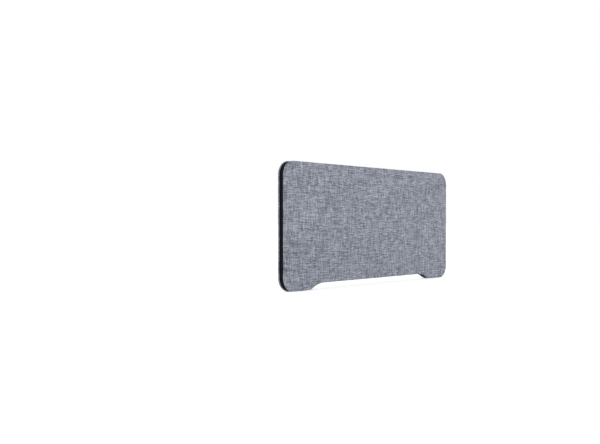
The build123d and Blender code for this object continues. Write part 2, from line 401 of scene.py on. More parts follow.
def clothMaterial(name, look):
    material, tree, shader = startMaterial(
        name, **{"Sheen Weight": look["sheen"], "Sheen Roughness": 0.5,
                 "Specular IOR Level": look["gloss"]}
    )
    place = addNode(tree, "UVMap", uv_map="cloth").outputs[0]
    # the gap value sets how dark the painted shade between the yarns is
    useGroup(
        tree, shader, weaveGroup, place, look["bump"], Pitch=look["pitch"],
        Base=look["base"], Dark=look["dark"], Light=look["light"], Contrast=look["contrast"],
        Drift=look["drift"], SlubLength=look["slubLength"], Gap=look["gap"],
    )
    return material


def objectPlace(tree, turn=(0.0, 0.0, 0.0)):
    # where on the piece, turned so that the pattern lies along it
    place = addNode(tree, "TexCoord").outputs["Object"]
    return addNode(tree, "Mapping", {0: place, 2: turn}).outputs[0]


def woodMaterial(name, look, turn):
    material, tree, shader = startMaterial(name, **{"Specular IOR Level": look["gloss"]})
    useGroup(
        tree, shader, grainGroup, objectPlace(tree, turn), look["bump"], Early=look["early"],
        Late=look["late"],
    )
    return material


def fibreMaterial(name, look):
    material, tree, shader = startMaterial(
        name, **{"Sheen Weight": look["sheen"], "Specular IOR Level": look["gloss"]}
    )
    useGroup(
        tree, shader, fibreGroup, objectPlace(tree), look["bump"], Base=look["base"],
        Dark=look["dark"], Light=look["light"], Length=look["length"],
    )
    return material


def enamelMaterial(name, look):
    material, tree, shader = startMaterial(name, **{"Specular IOR Level": look["gloss"]})
    made = useGroup(
        tree, shader, wearGroup, objectPlace(tree), look["bump"], Finish=look["finish"],
        Under=look["under"], Amount=look["amount"],
    )
    tree.links.new(made.outputs["Bare"], shader.inputs["Metallic"])
    return material


def metalMaterial(name, look):
    material, tree, shader = startMaterial(name, Metallic=1.0)
    useGroup(
        tree, shader, wearGroup, objectPlace(tree), look["bump"], Finish=look["finish"],
        Under=look["under"], Amount=look["amount"],
    )
    return material


melange = {
    "base": (0.173, 0.188, 0.231, 1.0), "dark": (0.025, 0.029, 0.045, 1.0),
    "light": (0.54, 0.565, 0.64, 1.0), "pitch": 0.0013, "contrast": 1.5,
    # gap: how dark the painted shade between the yarns is
    "drift": 0.35, "slubLength": 0.042, "gap": 0.7, "bump": 0.0004, "sheen": 0.06, "gloss": 0.2,
}
blackTape = {
    "base": (0.006, 0.006, 0.007, 1.0), "dark": (0.002, 0.002, 0.0025, 1.0),
    "light": (0.016, 0.016, 0.018, 1.0), "pitch": 0.0006, "contrast": 0.3,
    "drift": 0.3, "slubLength": 0.01, "gap": 0.5, "bump": 0.0002, "sheen": 0.0, "gloss": 0.05,
}
blackWebbing = dict(blackTape, pitch=0.0011, bump=0.0004)
pine = {
    "early": (0.72, 0.53, 0.33, 1.0), "late": (0.52, 0.32, 0.16, 1.0),
    "bump": 0.0002, "gloss": 0.35,
}
beech = dict(pine, early=(0.7, 0.5, 0.34, 1.0), late=(0.55, 0.37, 0.23, 1.0))
felt = {
    "base": (0.7, 0.7, 0.68, 1.0), "dark": (0.5, 0.5, 0.5, 1.0),
    "light": (0.85, 0.85, 0.83, 1.0), "length": 0.007, "bump": 0.0006,
    "sheen": 0.15, "gloss": 0.15,
}
board = dict(
    felt, base=(0.2, 0.2, 0.21, 1.0), dark=(0.08, 0.08, 0.09, 1.0),
    light=(0.45, 0.45, 0.46, 1.0), length=0.005,
)
enamel = {
    "finish": (0.006, 0.006, 0.007, 1.0), "under": (0.3, 0.3, 0.29, 1.0),
    "amount": 0.0, "bump": 0.000006, "gloss": 0.25,
}
# the enamel on the bevelled edges: rubbed through in patches, which is edge wear, and lighter all
# over than the black enamel, which is a painted highlight
rubbedHighlit = dict(
    enamel, finish=(0.02, 0.02, 0.021, 1.0), under=(0.5, 0.49, 0.47, 1.0), amount=0.7, gloss=0.3
)
nylon = dict(enamel, under=(0.02, 0.02, 0.022, 1.0), gloss=0.12)
thread = dict(
    enamel, finish=(0.01, 0.01, 0.011, 1.0), under=(0.03, 0.03, 0.032, 1.0), gloss=0.08
)
turnedBrass = {
    "finish": (0.72, 0.5, 0.2, 1.0), "under": (0.86, 0.68, 0.36, 1.0), "amount": 0.7,
    "bump": 0.00001,
}

quarterTurn = math.radians(90)
coverCloth = clothMaterial("melangeCloth", melange)
tapeCloth = clothMaterial("wovenTape", blackTape)
webbingCloth = clothMaterial("blackWebbing", blackWebbing)
pineAlong = woodMaterial("pineAlong", pine, (0, 0, 0))
pineUpright = woodMaterial("pineUpright", pine, (0, quarterTurn, 0))
beechAlong = woodMaterial("beechDowel", beech, (0, 0, 0))
feltFill = fibreMaterial("paleFelt", felt)
fibreBoard = fibreMaterial("greyFibreBoard", board)
blackEnamel = enamelMaterial("blackEnamel", enamel)
rubbedHighlitEnamel = enamelMaterial("rubbedHighlitEnamel", rubbedHighlit)
blackNylon = enamelMaterial("blackNylon", nylon)
threadNylon = enamelMaterial("blackThread", thread)
brass = metalMaterial("turnedBrass", turnedBrass)
print("materials made")


def newPiece(name, bm, material, body, replaced=(), sharpAngle=35.0):
    mesh = bpy.data.meshes.new(name)
    bm.to_mesh(mesh)
    bm.free()
    mesh.polygons.foreach_set("use_smooth", [True] * len(mesh.polygons))
    mesh.set_sharp_from_angle(angle=math.radians(sharpAngle))
    mesh.materials.append(material)
    piece = bpy.data.objects.new(name, mesh)
    scene.collection.objects.link(piece)
    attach(piece, body)
    if replaced:
        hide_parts(*replaced)
    return piece


def thicken(piece, thickness):
    # inwards from the outer face
    shell = piece.modifiers.new("thickness", "SOLIDIFY")
    shell.thickness = thickness
    shell.offset = -1.0


def cut(bm, point, normal, clear=False):
    # clear takes away what lies on the side that the normal points to
    everything = bm.verts[:] + bm.edges[:] + bm.faces[:]
    bmesh.ops.bisect_plane(
        bm, geom=everything, dist=samePlace, plane_co=point, plane_no=normal, clear_outer=clear
    )


# the panel's outline, which the covers, pads, tape and gusset follow
low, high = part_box("front_cover")
panel = {
    "halfWidth": high.x,
    "height": high.z,
    "halfThickness": -low.y,
    "rim": 12.5 * mm,  # from the middle to a cover's edge
    "cornerRadius": 65.0 * mm,
    "footLength": 184.0 * mm,
    "rampLength": 66.0 * mm,
    "footDrop": 29.0 * mm,
    "footRadius": 78.0 * mm,
    "middleRadius": 143.0 * mm,
    "cornerSegments": 24,
    "rampSegments": 12,
}
edge = {
    "tape": 4.0 * mm,  # how far the band lies inside the outline
    "tapeThickness": 0.8 * mm,
    "zipEnd": 75.0 * mm,  # how high the tapes' ends are, where the gusset takes over
    "chainHalf": 3.0 * mm,
    "chainDepth": 4.2 * mm,  # how far the teeth's middle lies inside the outline
    "tapeReach": 0.4 * mm,  # from the panel's middle to the tape's edge, under the teeth
    "chainLow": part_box("zip_slider")[0].z + 5.0 * mm,  # where the teeth begin at the right end
}


def raiseFace(bm, face, inset, rise):
    # a new ring round the face, which moves in by inset and out by rise
    bmesh.ops.inset_region(
        bm, faces=[face], thickness=inset, depth=rise, use_even_offset=True, use_boundary=True
    )


def wallFrom(bm, face, shift):
    # a wall from the face to a copy of it at shift, which is returned
    made = bmesh.ops.extrude_face_region(bm, geom=[face], use_keep_orig=True)["geom"]
    far = next(item for item in made if isinstance(item, bmesh.types.BMFace))
    bmesh.ops.translate(bm, vec=(0, shift, 0), verts=far.verts[:])
    return far


def outlineFace(bm, inset, y):
    # one face with rounded corners, on the plane at y, facing the front
    side = panel["halfWidth"]
    foot = side - panel["footLength"]
    ramp = foot - panel["rampLength"]
    corner, segments = panel["cornerRadius"], panel["cornerSegments"]
    bend = panel["rampSegments"]
    half = [
        (ramp, panel["footDrop"], panel["middleRadius"], bend),
        (foot, 0.0, panel["footRadius"], bend),
        (side, 0.0, corner, segments),
        (side, panel["height"], corner, segments),
    ]
    points = half + [(-x, z, radius, count) for x, z, radius, count in reversed(half)]
    verts = [bm.verts.new((x, y, z)) for x, z, radius, count in points]
    face = bm.faces.new(verts)
    for index, (vert, point) in enumerate(zip(verts, points)):
        before = Vector(points[index - 1][:2]) - Vector(point[:2])
        after = Vector(points[(index + 1) % len(points)][:2]) - Vector(point[:2])
        turn = math.pi - before.angle(after)
        bmesh.ops.bevel(
            bm, geom=[vert], offset=point[2] * math.tan(turn / 2), offset_type="OFFSET",
            segments=point[3], profile=0.5, affect="VERTICES", material=-1,
        )
    face = bm.faces[:][0]
    face.normal_update()
    if face.normal.y > 0:
        face.normal_flip()
    if inset > 0:
        raiseFace(bm, face, inset, 0.0)
        bmesh.ops.delete(bm, geom=[f for f in bm.faces if f is not face], context="FACES")
    return face


def roundOver(bm, face, radius, steps):
    # a quarter round between the wall and the face
    for step in range(steps):
        angle, nextAngle = (quarterTurn * s / steps for s in (step, step + 1))
        inset = radius * (math.cos(angle) - math.cos(nextAngle))
        rise = radius * (math.sin(nextAngle) - math.sin(angle))
        raiseFace(bm, face, inset, rise)


def gridCuts(bm, spacing):
    # cuts upright and level, so that cloth can bend between them
    side, height = panel["halfWidth"], panel["height"]
    columns = int(2 * side / spacing)
    rows = int(height / spacing)
    for column in range(1, columns):
        cut(bm, (-side + 2 * side * column / columns, 0, 0), (1, 0, 0))
    for row in range(1, rows):
        cut(bm, (0, 0, height * row / rows), (0, 0, 1))


def toBack(bm):
    # turns a front piece into its twin on the back
    bmesh.ops.scale(bm, vec=(1, -1, 1), verts=bm.verts[:])
    bmesh.ops.reverse_faces(bm, faces=bm.faces[:])


cover = {
    "edgeRadius": 6.0 * mm,
    "edgeSteps": 7,
    "hem": 14.0 * mm,
    "grid": 14.0 * mm,
    "thickness": 0.8 * mm,
    "sortAlong": (1.0, 7.31, 3.77),
    "pressure": 0.12,
    "frames": 20,
    "quality": 4,
    "mass": 0.25,
    "stretch": 12.0,
    "shear": 4.0,
    "bending": 0.6,
    "damping": 4.0,
    "heldShare": 0.6,  # of the edge's curve, counted from the rim's wall
    "crown": 0.9 * mm,  # the most that the face stands proud
    "pucker": 0.25 * mm,
    "puckerLength": 22.0 * mm,
    "puckerEnd": 0.98,  # of the edge's curve
}
seeds = {"front": 9.0, "back": 5.0, "pad": 3.0}  # which part of the noise each piece has
wallHeight = panel["halfThickness"] - panel["rim"] - cover["edgeRadius"]
rimSpare = cover["edgeRadius"] * (quarterTurn - 1) + wallHeight


def spareLength(y):
    # how much further out than in the model a point of the rim lies when the cloth is flat
    fromWall = -y - panel["rim"] - wallHeight
    if fromWall <= 0:
        return rimSpare - wallHeight - fromWall
    radius = cover["edgeRadius"]
    angle = math.asin(min(1.0, fromWall / radius))
    return radius * (quarterTurn - angle - math.cos(angle))


def layFlat(bm, rimFaceVerts):
    # stores each vertex's place on the flat cloth
    flatX = bm.verts.layers.float.new("flatX")
    flatZ = bm.verts.layers.float.new("flatZ")
    bm.normal_update()
    for vert in bm.verts:
        if vert in rimFaceVerts:
            beside = [e.other_vert(vert) for e in vert.link_edges]
            outer = next(v for v in beside if v not in rimFaceVerts)
            along = outer.co - vert.co
            spare = rimSpare + 2 * along.length
            outward = along.normalized()
        else:
            outward = Vector((vert.normal.x, 0, vert.normal.z))
            spare = spareLength(vert.co.y)
            outward = outward.normalized() if spare > 0 and outward.length > 0 else Vector()
        vert[flatX] = vert.co.x + outward.x * spare
        vert[flatZ] = vert.co.z + outward.z * spare


def clothMap(bm):
    uv = bm.loops.layers.uv.new("cloth")
    flatX = bm.verts.layers.float["flatX"]
    flatZ = bm.verts.layers.float["flatZ"]
    for face in bm.faces:
        for loop in face.loops:
            loop[uv].uv = (loop.vert[flatX], loop.vert[flatZ])


def sortByPlace(bm):
    # one fixed order, so that the simulation gives the same result each run
    along = Vector(cover["sortAlong"])
    bm.verts.sort(key=lambda v: v.co.dot(along))
    bm.edges.sort(key=lambda e: (e.verts[0].co + e.verts[1].co).dot(along))
    bm.faces.sort(key=lambda f: f.calc_center_median().dot(along))
    for items in (bm.verts, bm.edges, bm.faces):
        items.index_update()


def coverMesh():
    bm = bmesh.new()
    hemFace = outlineFace(bm, 0.0, -panel["rim"])
    face = wallFrom(bm, hemFace, -wallHeight)
    roundOver(bm, face, cover["edgeRadius"], cover["edgeSteps"])
    raiseFace(bm, hemFace, cover["hem"], 0.0)
    layFlat(bm, set(hemFace.verts))
    bmesh.ops.delete(bm, geom=[hemFace], context="FACES_ONLY")
    bmesh.ops.recalc_face_normals(bm, faces=bm.faces[:])
    gridCuts(bm, cover["grid"])
    clothMap(bm)
    sortByPlace(bm)
    return bm


def simulateCloth(piece, settings):
    # air pressure lifts the face, and the rim stays where it is sewn
    rest = [vert.co.copy() for vert in piece.data.vertices]
    held = piece.vertex_groups.new(name="held")
    rimEdge = panel["rim"] + wallHeight + settings["heldShare"] * settings["edgeRadius"]
    held.add([v.index for v in piece.data.vertices if abs(v.co.y) < rimEdge], 1.0, "REPLACE")
    modifier = piece.modifiers.new("Cloth", "CLOTH")
    cloth = modifier.settings
    cloth.quality = settings["quality"]
    cloth.mass = settings["mass"]
    cloth.tension_stiffness = settings["stretch"]
    cloth.compression_stiffness = settings["stretch"]
    cloth.shear_stiffness = settings["shear"]
    cloth.bending_stiffness = settings["bending"]
    cloth.air_damping = settings["damping"]
    cloth.use_pressure = True
    cloth.uniform_pressure_force = settings["pressure"]
    cloth.effector_weights.gravity = 0.0
    cloth.vertex_group_mass = "held"
    modifier.point_cache.frame_start = 1
    modifier.point_cache.frame_end = settings["frames"]
    for frameNumber in range(1, settings["frames"] + 1):
        scene.frame_set(frameNumber)
    graph = bpy.context.evaluated_depsgraph_get()
    moved = [vert.co.copy() for vert in piece.evaluated_get(graph).data.vertices]
    piece.modifiers.remove(modifier)
    scene.frame_set(1)
    most = max((after - before).length for after, before in zip(moved, rest))
    for vert, after, before in zip(piece.data.vertices, moved, rest):
        shift = after - before
        size = shift.length
        if size > 0:
            shift *= settings["crown"] * math.tanh(size / settings["crown"]) / size
        vert.co = before + shift
    piece.data.update()
    print(piece.name, "cloth moved at most", round(most / mm, 2), "mm before its cap")


def puckerRim(piece, settings, seed):
    # small gathers where the cloth turns over the edge
    start = panel["rim"] + wallHeight
    for vert in piece.data.vertices:
        depth = (abs(vert.co.y) - start) / settings["edgeRadius"]
        if 0 < depth < settings["puckerEnd"]:
            spot = Vector((vert.co.x, seed, vert.co.z)) / settings["puckerLength"]
            lift = noise.noise(spot) * settings["pucker"] * math.sin(math.pi * depth)
            vert.co += vert.normal * lift


def makeCover(name, isBack):
    bm = coverMesh()
    if isBack:
        toBack(bm)
    piece = newPiece(name + "_cloth", bm, coverCloth, "panel", [name], 60.0)
    simulateCloth(piece, cover)
    puckerRim(piece, cover, seeds["back"] if isBack else seeds["front"])
    thicken(piece, cover["thickness"])
    return piece


for coverName, isBack in (("front_cover", False), ("back_cover", True)):
    made = makeCover(coverName, isBack)

pad = {
    "gap": 1.1 * mm,  # inside the cover's outline
    "thickness": 6.8 * mm,  # past its step
    "edgeRadius": 4.9 * mm,
    "edgeSteps": 5,
    "stepWidth": 13.0 * mm,
    "stepHeight": 1.1 * mm,
    "grid": 24.0 * mm,
    "lump": 0.3 * mm,
    "lumpLength": 45.0 * mm,
    "lumpDepth": 0.5 * mm,  # how far from the face the lumps reach
    "fill": 0.9,
}


def makePad(name, isBack):
    bm = bmesh.new()
    under = outlineFace(bm, pad["gap"], -panel["rim"] - pad["stepHeight"])
    face = wallFrom(bm, under, pad["edgeRadius"] - pad["thickness"])
    roundOver(bm, face, pad["edgeRadius"], pad["edgeSteps"])
    raiseFace(bm, under, pad["stepWidth"], 0.0)
    made = bmesh.ops.extrude_face_region(bm, geom=[under])["geom"]
    bmesh.ops.translate(
        bm, vec=(0, pad["stepHeight"], 0),
        verts=[item for item in made if isinstance(item, bmesh.types.BMVert)],
    )
    bmesh.ops.delete(bm, geom=[f for f in bm.faces if f is under], context="FACES_ONLY")
    bmesh.ops.recalc_face_normals(bm, faces=bm.faces[:])
    gridCuts(bm, pad["grid"])
    deepest = -panel["rim"] - pad["stepHeight"] - pad["thickness"]
    for vert in bm.verts:
        if vert.co.y < deepest + pad["lumpDepth"]:
            spot = Vector((vert.co.x, seeds["pad"], vert.co.z)) / pad["lumpLength"]
            vert.co.y += abs(noise.noise(spot)) * pad["lump"]
    if isBack:
        toBack(bm)
    piece = newPiece(name + "_felt", bm, feltFill, "panel", [name], 60.0)


for padName, isBack in (("front_pad", False), ("back_pad", True)):
    makePad(padName, isBack)
print("pads made")

# the band round the edge: zip tape and gusset
band = {
    "grid": 12.0 * mm,
    "openingTop": edge["chainLow"] + 430.0 * mm,  # the slider's travel above its rest
    "openKeep": 0.82,
    "tapeFold": 0.75,  # of the way from the middle to a cover's edge
    "gussetCuts": (-6.0 * mm, -2.0 * mm, 2.0 * mm, 6.0 * mm),
}


def edgeStrip(inset, yFront, yBack):
    # a wall that follows the outline
    bm = bmesh.new()
    face = outlineFace(bm, inset, yFront)
    far = wallFrom(bm, face, yBack - yFront)
    bmesh.ops.recalc_face_normals(bm, faces=bm.faces[:])
    bmesh.ops.delete(bm, geom=[face, far], context="FACES_ONLY")
    return bm


def edgePath(bm, y):
    # the strip's edge at y as points, from its left end to its right end
    level = {v for v in bm.verts if abs(v.co.y - y) < samePlace}
    beside = {
        v: [e.other_vert(v) for e in v.link_edges if e.other_vert(v) in level] for v in level
    }
    ends = [v for v in level if len(beside[v]) == 1]
    path = [min(ends, key=lambda v: v.co.x)]
    while True:
        ahead = [v for v in beside[path[-1]] if v not in path[-2:]]
        if not ahead:
            return [v.co.copy() for v in path]
        path.append(ahead[0])


def edgeMap(bm, path):
    # the cloth's own map: distance along the edge, and distance across
    along = {}
    distance = 0.0
    for index, point in enumerate(path):
        if index:
            distance += (point - path[index - 1]).length
        along[(round(point.x, 5), round(point.z, 5))] = distance
    uv = bm.loops.layers.uv.new("cloth")
    for face in bm.faces:
        for loop in face.loops:
            co = loop.vert.co
            loop[uv].uv = (along[(round(co.x, 5), round(co.z, 5))], co.y)


def placesAlong(path, pitch, start, lift, y):
    # X along the edge, Z outwards
    places = []
    distance = 0.0
    due = start
    for first, second in zip(path, path[1:]):
        step = second - first
        tangent = step.normalized()
        outward = Vector((-tangent.z, 0, tangent.x))
        while due <= distance + step.length:
            point = first + tangent * (due - distance) + outward * lift
            point.y = y
            place = Matrix.Identity(4)
            for column, axis in enumerate((tangent, Vector((0, 1, 0)), outward, point)):
                for row in range(3):
                    place[row][column] = axis[row]
            places.append(place)
            due += pitch
        distance += step.length
    return places


def scatter(shape, places):
    # one mesh with a copy of the shape at each place
    bm = bmesh.new()
    for place in places:
        copy = shape.copy()
        copy.transform(place)
        bm.from_mesh(copy)
        bpy.data.meshes.remove(copy)
    return bm


def keptMesh(bm):
    # ends the bmesh, and keeps its result
    mesh = bpy.data.meshes.new("shape")
    bm.to_mesh(mesh)
    bm.free()
    return mesh


def isOpening(place):
    # true for what opens below the slider: the right end, up to openingTop
    return place.translation.x > 0 and place.translation.z < band["openingTop"]


def openWith(piece):
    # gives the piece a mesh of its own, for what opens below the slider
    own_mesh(piece)


def makeTape(side, isBack):
    for part in ("run", "opening"):
        bm = edgeStrip(edge["tape"], -panel["rim"], -edge["tapeReach"])
        cut(bm, (0, 0, edge["zipEnd"]), (0, 0, -1), True)
        gridCuts(bm, band["grid"])
        cut(bm, (0, -band["tapeFold"] * panel["rim"], 0), (0, 1, 0))
        cut(bm, (0, -edge["chainHalf"], 0), (0, 1, 0))
        cut(bm, (0, 0, edge["chainLow"]), (0, 0, 1))
        edgeMap(bm, edgePath(bm, -panel["rim"]))
        inSlider = []
        for face in bm.faces:
            middle = face.calc_center_median()
            beside = middle.y > -edge["chainHalf"]
            if beside and middle.x > 0 and middle.z < edge["chainLow"]:
                inSlider.append(face)
        bmesh.ops.delete(bm, geom=inSlider, context="FACES")
        openAt = (0, 0, band["openingTop"])
        if part == "run":
            right = [f for f in bm.faces if f.calc_center_median().x > 0]
            around = list({v for f in right for v in f.verts}) + right
            around += list({e for f in right for e in f.edges})
            bmesh.ops.bisect_plane(
                bm, geom=around, dist=samePlace, plane_co=openAt, plane_no=(0, 0, -1),
                clear_outer=True,
            )
        else:
            cut(bm, (0, 0, 0), (-1, 0, 0), True)
            cut(bm, openAt, (0, 0, 1), True)
        if isBack:
            toBack(bm)
        piece = newPiece(
            f"zip_tape_{side}_{part}", bm, tapeCloth, "panel", ["zip_tape_" + side]
        )
        thicken(piece, edge["tapeThickness"])
        if part == "opening":
            openWith(piece)


tooth = {
    "pitch": 2.6 * mm,
    "legWidth": 0.95 * mm,
    "headWidth": 1.35 * mm,
    "height": 2.0 * mm,
    "legEnd": 0.9 * mm,  # short of the middle line
    "headLength": 1.5 * mm,
    "headShares": (0.3, 0.4, 0.3),  # widening, straight, narrowing
    "bevel": 0.16 * mm,
    "firstAbove": 3.0 * mm,  # from the tape's lower end at the left
}
stitch = {
    "pitch": 3.1 * mm,
    "size": (2.3 * mm, 0.42 * mm, 0.36 * mm),
    "bevel": 0.12 * mm,
    "row": 11.0 * mm,  # from the panel's middle
    "lift": 0.06 * mm,
}


def bevelAll(bm, width, segments=1):
    bmesh.ops.bevel(
        bm, geom=bm.edges[:], offset=width, segments=segments, profile=0.5, affect="EDGES",
        material=-1,
    )


def toothShape():
    bm = bmesh.new()
    legLength = edge["chainHalf"] - tooth["legEnd"]
    bmesh.ops.create_cube(bm, size=1.0)
    bmesh.ops.scale(
        bm, vec=(tooth["legWidth"], legLength, tooth["height"]), verts=bm.verts[:]
    )
    bmesh.ops.translate(
        bm, vec=(0, -tooth["legEnd"] - legLength / 2, 0), verts=bm.verts[:]
    )
    wider = tooth["headWidth"] / tooth["legWidth"]
    for share, width in zip(tooth["headShares"], (wider, 1.0, 1.0 / wider)):
        bm.faces.ensure_lookup_table()
        tip = max(bm.faces, key=lambda f: f.calc_center_median().y)
        made = bmesh.ops.extrude_face_region(bm, geom=[tip])["geom"]
        verts = [item for item in made if isinstance(item, bmesh.types.BMVert)]
        bmesh.ops.delete(bm, geom=[f for f in bm.faces if f is tip], context="FACES_ONLY")
        bmesh.ops.translate(bm, vec=(0, share * tooth["headLength"], 0), verts=verts)
        bmesh.ops.scale(bm, vec=(width, 1, 1), verts=verts)
    bmesh.ops.recalc_face_normals(bm, faces=bm.faces[:])
    bevelAll(bm, tooth["bevel"])
    return keptMesh(bm)


def stitchShape():
    bm = bmesh.new()
    bmesh.ops.create_cube(bm, size=1.0)
    bmesh.ops.scale(bm, vec=stitch["size"], verts=bm.verts[:])
    bevelAll(bm, stitch["bevel"])
    return keptMesh(bm)


def pathAbove(inset, lowEnd):
    # round the outline from lowEnd up, over the top and down again
    bm = edgeStrip(inset, -panel["rim"], 0.0)
    cut(bm, (0, 0, lowEnd), (0, 0, -1), True)
    path = edgePath(bm, 0.0)
    bm.free()
    return path


def makeTeeth(side, isBack, path, shape):
    start = tooth["pitch"] * (1.0 if isBack else 0.5)  # the two rows' teeth take turns
    places = placesAlong(path, tooth["pitch"], start, 0.0, 0.0)
    places = [
        p for p in places if p.translation.x < 0 or p.translation.z > edge["chainLow"]
    ]
    for part, wanted in (("run", False), ("opening", True)):
        bm = scatter(shape, [p for p in places if isOpening(p) == wanted])
        if isBack:
            toBack(bm)
        piece = newPiece(
            f"zip_teeth_{side}_{part}", bm, blackNylon, "panel",
            ["zip_chain_" + side],
        )
        if wanted:
            openWith(piece)


def makeStitches(name, path, shape, rows):
    bm = bmesh.new()
    for y in rows:
        row = scatter(shape, placesAlong(path, stitch["pitch"], stitch["pitch"], stitch["lift"], y))
        mesh = keptMesh(row)
        bm.from_mesh(mesh)
        bpy.data.meshes.remove(mesh)
    newPiece(name, bm, threadNylon, "panel")


toothMesh = toothShape()
stitchMesh = stitchShape()
for side, isBack in (("front", False), ("back", True)):
    makeTape(side, isBack)
    chain = pathAbove(edge["chainDepth"], edge["zipEnd"] + tooth["firstAbove"])
    makeTeeth(side, isBack, chain, toothMesh)
    tape = pathAbove(edge["tape"], edge["zipEnd"])
    row = stitch["row"] if isBack else -stitch["row"]
    makeStitches("zip_stitches_" + side, tape, stitchMesh, [row])
print("zip made,", len(toothMesh.polygons), "faces a tooth")

eyelet = {
    "hole": 3.5 * mm,
    "barrel": 4.0 * mm,
    "flange": 5.5 * mm,
    "outside": 3.6 * mm,
    "inside": 5.2 * mm,
    "segments": 40,
    "roll": 0.35 * mm,
    "rollShare": 0.6,  # the part of the roll at the flange's rim
    "lip": 0.1 * mm,
    "spacing": 64.0 * mm,  # between the two in each foot
    "cutterDepth": 4.0 * mm,
}


def boltPlaces():
    low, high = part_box("gusset_eyelets")
    outerX = high.x - eyelet["flange"]
    innerX = outerX - eyelet["spacing"]
    return [-outerX, -innerX, innerX, outerX]


def applyModifiers(piece):
    # makes the modified mesh the piece's own
    graph = bpy.context.evaluated_depsgraph_get()
    mesh = bpy.data.meshes.new_from_object(piece.evaluated_get(graph))
    piece.modifiers.clear()
    piece.data = mesh


def makeGusset():
    bm = edgeStrip(edge["tape"], -panel["rim"], panel["rim"])
    cut(bm, (0, 0, edge["zipEnd"]), (0, 0, 1), True)
    gridCuts(bm, band["grid"])
    path = edgePath(bm, -panel["rim"])
    edgeMap(bm, path)
    for y in band["gussetCuts"]:
        cut(bm, (0, y, 0), (0, 1, 0))
    piece = newPiece(
        "bottom_gusset_webbing", bm, webbingCloth, "panel", ["bottom_gusset"]
    )
    thicken(piece, edge["tapeThickness"])
    cutter = bmesh.new()
    for x in boltPlaces():
        place = Matrix.Translation((x, 0, edge["tape"]))
        bmesh.ops.create_cone(
            cutter, cap_ends=True, segments=eyelet["segments"], radius1=eyelet["barrel"],
            radius2=eyelet["barrel"], depth=eyelet["cutterDepth"], matrix=place,
        )
    mesh = keptMesh(cutter)
    cutterObject = bpy.data.objects.new("cutter", mesh)
    scene.collection.objects.link(cutterObject)
    holes = piece.modifiers.new("holes", "BOOLEAN")
    holes.operation = "DIFFERENCE"
    holes.object = cutterObject
    holes.solver = "EXACT"
    bpy.context.view_layer.update()
    applyModifiers(piece)
    bpy.data.objects.remove(cutterObject)
    makeStitches(
        "gusset_stitches", path, stitchMesh, [-stitch["row"], stitch["row"]]
    )


def lathe(bm, profile, centre, segments):
    # turns a closed profile of (radius, height) points about the upright line at centre
    verts = [bm.verts.new((centre[0] + r, centre[1], z)) for r, z in profile]
    edges = [bm.edges.new((a, b)) for a, b in zip(verts, verts[1:] + verts[:1])]
    bmesh.ops.spin(
        bm, geom=verts + edges, cent=centre, axis=(0, 0, 1), angle=2 * math.pi,
        steps=segments, use_merge=True,
    )


def makeEyelets():
    bm = bmesh.new()
    hole, barrel, flange = eyelet["hole"], eyelet["barrel"], eyelet["flange"]
    outside, inside, roll = eyelet["outside"], eyelet["inside"], eyelet["roll"]
    under, over = edge["tape"], edge["tape"] + edge["tapeThickness"]
    profile = [
        (hole, outside + roll), (hole + roll, outside), (flange - roll, outside),
        (flange, outside + roll * eyelet["rollShare"]), (flange, under), (barrel, under),
        (barrel, over), (flange, over), (flange, inside - eyelet["lip"]),
        (flange - roll, inside), (hole, inside),
    ]
    for x in boltPlaces():
        lathe(bm, profile, (x, 0, 0), eyelet["segments"])
    bmesh.ops.recalc_face_normals(bm, faces=bm.faces[:])
    newPiece(
        "gusset_eyelets_pressed", bm, blackEnamel, "panel", ["gusset_eyelets"]
    )


makeGusset()
makeEyelets()
print("gusset and eyelets made")

insert = {
    "flange": 6.5 * mm,
    "flangeLow": 5.2 * mm,
    "flangeHigh": 6.2 * mm,
    "body": 5.0 * mm,
    "root": 4.3 * mm,
    "top": 20.2 * mm,
    "outerPitch": 2.2 * mm,
    "ridge": (0.3, 0.6, 0.7),  # where in each pitch it starts to rise, and its flat crest
    "crest": 2.5 * mm,
    "valley": 3.0 * mm,
    "pitch": 1.0 * mm,
    "threadCrest": (0.44, 0.56),  # where in each pitch its flat crest is
    "lead": 0.4 * mm,  # the chamfer at the thread's mouth
    "threadStart": 0.5 * mm,  # above the flange's foot
    "unthreaded": 2,  # turns that the thread is short of the top
    "merge": 0.005 * mm,
    "segments": 28,
}


def screwSurface(bm, profile, centre, pitch, turns, segments):
    # one turn's profile of (radius, height) points, wound up the line at centre
    verts = [bm.verts.new((centre[0] + r, centre[1], z)) for r, z in profile]
    edges = [bm.edges.new((a, b)) for a, b in zip(verts, verts[1:])]
    bmesh.ops.spin(
        bm, geom=verts + edges, cent=centre, axis=(0, 0, 1), dvec=(0, 0, pitch / segments),
        angle=2 * math.pi * turns, steps=int(segments * turns), use_merge=False,
    )


